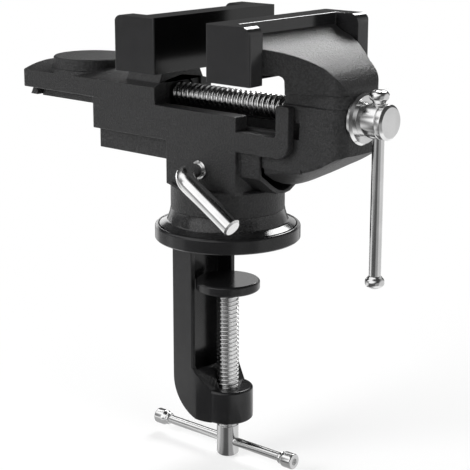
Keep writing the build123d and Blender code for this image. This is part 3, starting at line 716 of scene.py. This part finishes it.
# %% Knobs
handle_knob = ((0, 0), (0, 2.7), (0.7, 3.1), (1.9, 4.2), (3.9, 4.2), (5.0, 3.2), (5.4, 1.6), (5.4, 0))
bar_knob = ((0, 0), (0, 2.6), (0.8, 3.0), (1.6, 2.7), (3.2, 3.7), (8.0, 3.7), (8.5, 3.2), (8.5, 0))
knob_round = 0.7
handle_ends = (71.05, -2.4)
bar_ends = (-37.5, 32.4)
along_x = Matrix()
against_x = Matrix.Rotation(pi, 4, "Z")
down = Matrix.Rotation(radians(90), 4, "Y")
knobs = (
    ("handle_knob_top", handle_knob, x_to_z, (handle_x, 0, handle_ends[0])),
    ("handle_knob_bottom", handle_knob, down, (handle_x, 0, handle_ends[1])),
    ("t_bar_knob_left", bar_knob, against_x, (bar_ends[0], 0, bar_z)),
    ("t_bar_knob_right", bar_knob, along_x, (bar_ends[1], 0, bar_z)),
)
for name, outline, turn, seat in knobs:
    knob = placed(turned(outline, knob_round), turn, seat)
    new_piece(name + "_turned", finished_mesh(name + "_turned", knob, radians(50)), name)
print(len(knobs), "knobs")

# %% [markdown]
# ## The room that the plating shows
#
# Bright metal shows its surroundings, and in an evenly white room it would vanish into the background. A
# studio isn't even: below the horizon there is a pale floor, above it a dark room, and in it white sheets
# and black cloths stand where the photographer wants a light or a dark band in the metal. Modelled as real
# sheets they would get in the way of the lamps, so each is a soft round patch of the room's brightness,
# given by its direction, its inner and outer angle in degrees, and its level. A later patch lies over an
# earlier one.

# %% The room
floor_level = 1.05
horizon_drop = 0.99
room_patches = {
    "dark ground in front": ((0.12, -0.96, -0.25), 32, 62, 0.09),
    "grey sheet low on the right": ((0.92, -0.30, -0.25), 12, 28, 0.34),
    "grey sheet low on the left": ((-0.95, -0.20, -0.25), 8, 20, 0.45),
    "dark ground behind": ((-0.66, 0.74, -0.12), 14, 32, 0.08),
    "pale ground front left": ((-0.65, -0.66, -0.38), 6, 18, 0.80),
    "white sheet over the camera": ((-0.25, -0.72, 0.60), 32, 60, 1.15),
    "dark cloth front left": ((-0.66, -0.74, 0.14), 10, 30, 0.20),
    "white sheet in front": ((-0.38, -0.91, 0.19), 8, 18, 1.30),
    "pale sheet behind right": ((0.72, 0.68, -0.10), 25, 55, 0.68),
    "black ceiling": ((0.10, -0.15, 0.98), 12, 28, 0.02),
    "dark cloth high on the left": ((-0.66, 0.20, 0.72), 8, 20, 0.14),
}


def room(signal, way):
    """How bright the room is in a direction."""
    level = floor_level - horizon_drop * way.axis(2).between(-0.14, -0.01)
    for towards, inner, outer, patch_level in room_patches.values():
        agreement = signal.vector_math("DOT_PRODUCT", way, Vector(towards).normalized(), out="Value")
        mask = agreement.between(cos(radians(outer)), cos(radians(inner)))
        level = level + mask * (patch_level - level)
    return level


print("the room has", len(room_patches), "patches")

# %% [markdown]
# ## Floor
#
# The vise stands free in a white studio, so the floor is a pale round sheet just below the lowest piece.
# Near the vise it is a matt surface that takes the shadow. Further out it fades into plain white, the same
# white that the world shows to the camera. In reflections it shows the room's level in that direction, as
# seen from the middle of the vise. Close to the vise that direction would be steeply down, where the room
# is white, so a gentle slope takes its place and the low parts don't mirror a white floor.

# %% Floor sheet
floor_z = -107.0 * mm
floor_radius = 6.0
floor_shape = bmesh.new()
bmesh.ops.create_circle(floor_shape, cap_ends=True, radius=floor_radius, segments=96)
floor_mesh = mesh_from("studio_floor", floor_shape)
floor = new_object("studio_floor", floor_mesh)
floor.location.z = floor_z
print("floor at", floor_z)

# %% [markdown]
# ## The floor's finish
#
# A real sheet of white paper would take the shadow, show white to the camera and glow in the metal all at
# once, but each of these needs another brightness here. The Light Path node says what kind of ray asks. So
# the material mixes a matt white, which takes the shadow, with a glow, whose level depends on who looks.


# %% Floor finish
def what_looks(signal):
    """Two masks: 1 for rays from the camera or through glass, and 1 for reflected rays."""
    camera_ray = signal.node("ShaderNodeLightPath", out="Is Camera Ray")
    glossy = signal.node("ShaderNodeLightPath", out="Is Glossy Ray")
    through = signal.node("ShaderNodeLightPath", out="Is Transmission Ray")
    return signal.math("MINIMUM", camera_ray + through, 1.0), glossy


vise_middle = (0.03, 0.0, 0.15)
near_slope = -0.25
floor_white = (0.93, 0.93, 0.93, 1.0)

floor_finish, signal = start_finish("pale_floor")
place = signal.place()
distance = signal.vector_math("LENGTH", place, out="Value")
far_way = signal.vector_math("SUBTRACT", place, vise_middle)
down_the_slope = signal.node("ShaderNodeCombineXYZ", None, {2: distance * near_slope})
near_way = signal.vector_math("ADD", place, down_the_slope)
some_way = signal.node("ShaderNodeMix", {"data_type": "VECTOR"},
                       {0: distance.between(0.06, 0.14), 4: near_way, 5: far_way}, out=1)
way = signal.vector_math("NORMALIZE", some_way)
open_view, glossy = what_looks(signal)
cover = open_view * (0.6 + 0.4 * distance.between(0.05, 0.40)) + glossy
level = open_view + (1.0 - open_view) * room(signal, way)
matt = signal.node("ShaderNodeBsdfDiffuse", None, {"Color": floor_white})
white = signal.node("ShaderNodeEmission", None, {"Color": level, "Strength": 1.0})
mixed = signal.node("ShaderNodeMixShader", None, {0: signal.math("MINIMUM", cover, 1.0), 1: matt, 2: white})
signal.node("ShaderNodeOutputMaterial", None, {"Surface": mixed})
floor_mesh.materials.append(floor_finish)
print("floor finish with", len(floor_finish.node_tree.nodes), "nodes")

# %% [markdown]
# ## World
#
# The camera sees plain white in every direction, reflections see the room described above, and the matt
# parts get an even fill that is stronger from below, where a white floor throws light back.

# %% World
fill_below = 0.74
fill_drop = 0.66

world = bpy.data.worlds.new("studio")
bpy.context.scene.world = world
world.use_nodes = True
world.node_tree.nodes.clear()
signal = Signal(world.node_tree)
open_view, glossy = what_looks(signal)
way = signal.node("ShaderNodeTexCoord", out="Generated")
fill = fill_below - fill_drop * way.axis(2).between(-0.05, 0.55)
level = open_view + (1.0 - open_view) * (glossy * room(signal, way) + (1.0 - glossy) * fill)
background = signal.node("ShaderNodeBackground", None, {"Color": level, "Strength": 1.0})
signal.node("ShaderNodeOutputWorld", None, {"Surface": background})
print("world with", len(world.node_tree.nodes), "nodes")

# %% [markdown]
# ## Lamps
#
# Three large lamps light the vise, each a soft rectangle: one behind it for the tops, one on the camera's
# left for the sides, and a weak one on the right. The room's patches already put the bright bands in the
# metal. The outlines of the front and the right lamp would show in the plating as hard rectangles, so
# reflections don't see those two.


# %% Lamps
def softbox(name, place, aim, width, height, power):
    """A rectangular lamp at place that faces aim."""
    lamp = bpy.data.lights.new(name, "AREA")
    lamp.shape = "RECTANGLE"
    lamp.size = width
    lamp.size_y = height
    lamp.energy = power
    box = new_object(name, lamp)
    box.location = place
    box.rotation_euler = (Vector(aim) - Vector(place)).to_track_quat("-Z", "Y").to_euler()
    return box


softbox("rear_top_softbox", place=(-0.34, 0.82, 0.75), aim=(0.04, 0, 0.08), width=0.5, height=0.45, power=9.0)
front_left = softbox("front_left_softbox", place=(-0.44, -1.05, 0.42), aim=(0, 0, 0.03),
                     width=0.8, height=0.8, power=19.0)
right = softbox("right_softbox", place=(0.95, -0.25, 0.45), aim=(0, 0, 0), width=0.6, height=0.6, power=4.0)
front_left.visible_glossy = False
right.visible_glossy = False
print("three softboxes")

# %% [markdown]
# ## The low white screen
#
# The round base and the pressure disc mirror something white on their tops, while the deck and the jaws
# above them stay dark. So a low white screen stands close behind the vise. It ends below the height of the
# jaws, so they look over it into the dark room. Its left half is brighter, as the left of the round base
# is. Only reflections see it.

# %% Screen
screen_behind = Vector((-0.66, 0.75, 0)).normalized() * 0.12
screen_side = Vector((0.75, 0.66, 0)).normalized() * 0.16
screen_foot = 0.004
screen_top = 0.048
screen_level = 1.1
level_on_the_left = 2.2
fade_width = 0.004

screen_shape = bmesh.new()
screen_shape.faces.new([
    screen_shape.verts.new(screen_behind + side * screen_side + Vector((0, 0, height)))
    for side, height in ((-1, screen_foot), (1, screen_foot), (1, screen_top), (-1, screen_top))])
screen_mesh = mesh_from("white_screen", screen_shape)
screen = new_object("white_screen", screen_mesh)
for ray in ("camera", "diffuse", "transmission", "shadow", "volume_scatter"):
    setattr(screen, "visible_" + ray, False)

screen_finish, signal = start_finish("white_screen")
to_the_right = signal.vector_math("DOT_PRODUCT", signal.place(), screen_side, out="Value")
on_the_left = (0.0 - to_the_right).between(0.0, fade_width)
brightness = screen_level + (level_on_the_left - screen_level) * on_the_left
shine = signal.node("ShaderNodeEmission", None, {"Color": brightness, "Strength": 1.0})
signal.node("ShaderNodeOutputMaterial", None, {"Surface": shine})
screen_mesh.materials.append(screen_finish)
print("screen up to", screen_top)
